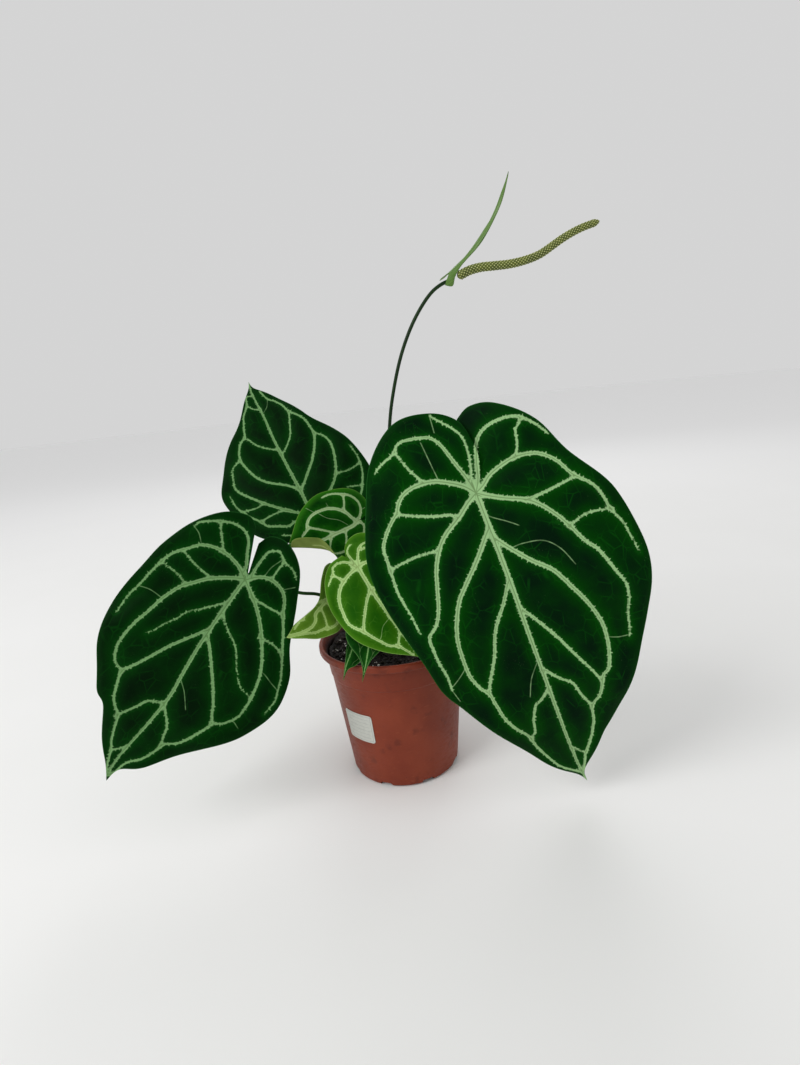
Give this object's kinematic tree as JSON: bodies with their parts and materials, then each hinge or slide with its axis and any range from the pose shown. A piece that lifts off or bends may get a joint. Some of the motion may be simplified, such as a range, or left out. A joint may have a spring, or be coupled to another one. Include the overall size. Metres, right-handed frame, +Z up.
{
  "type": "potted anthurium hybrid",
  "caption": "Velvet-leaved aroid with heart-shaped, pale-veined leaves and one arched flower stalk, growing in a round plastic nursery pot.",
  "frame": {"origin": "centre of the flat underside of the pot", "axes": "+Z up along the pot's axis, -Y towards the front that the big leaf faces, +X to the viewer's right, where the flower spike points"},
  "size_m": [0.3851, 0.2215, 0.4325],
  "materials": {
    "terracotta_plastic": "satin brown-red moulded plastic",
    "label_paper": "plain white sticker with ruled lines",
    "potting_mix": "dark bark and peat with pale perlite grains",
    "crown_bark": "ringed green-brown stem",
    "velvet_leaf": "velvety dark green with silvery pale green veins",
    "bright_leaf": "soft bright green with wide pale veins",
    "lime_leaf": "soft lime green with yellowish veins",
    "leaf_stalk": "smooth green",
    "dry_scale": "dry papery brown",
    "flower_stalk": "smooth dark green",
    "spathe_green": "smooth leaf green",
    "spadix_yellow_green": "knobbly yellow-green with pale dots"
  },
  "bodies": {
    "root": {"pot": "terracotta_plastic", "label": "label_paper", "soil": "potting_mix", "crown": "crown_bark", "leaf_big": "velvet_leaf", "stalk_big": "leaf_stalk", "leaf_left": "velvet_leaf", "stalk_left": "leaf_stalk", "leaf_back": "velvet_leaf", "stalk_back": "leaf_stalk", "leaf_middle": "velvet_leaf", "stalk_middle": "leaf_stalk", "leaf_light": "bright_leaf", "stalk_light": "leaf_stalk", "leaf_lime": "lime_leaf", "stalk_lime": "leaf_stalk", "leaf_small_a": "velvet_leaf", "stalk_small_a": "leaf_stalk", "leaf_small_b": "velvet_leaf", "stalk_small_b": "leaf_stalk", "scale_leaf_1": "dry_scale", "scale_leaf_2": "dry_scale", "peduncle": "flower_stalk", "spathe": "spathe_green", "spadix": "spadix_yellow_green"}
  },
  "joints": []
}
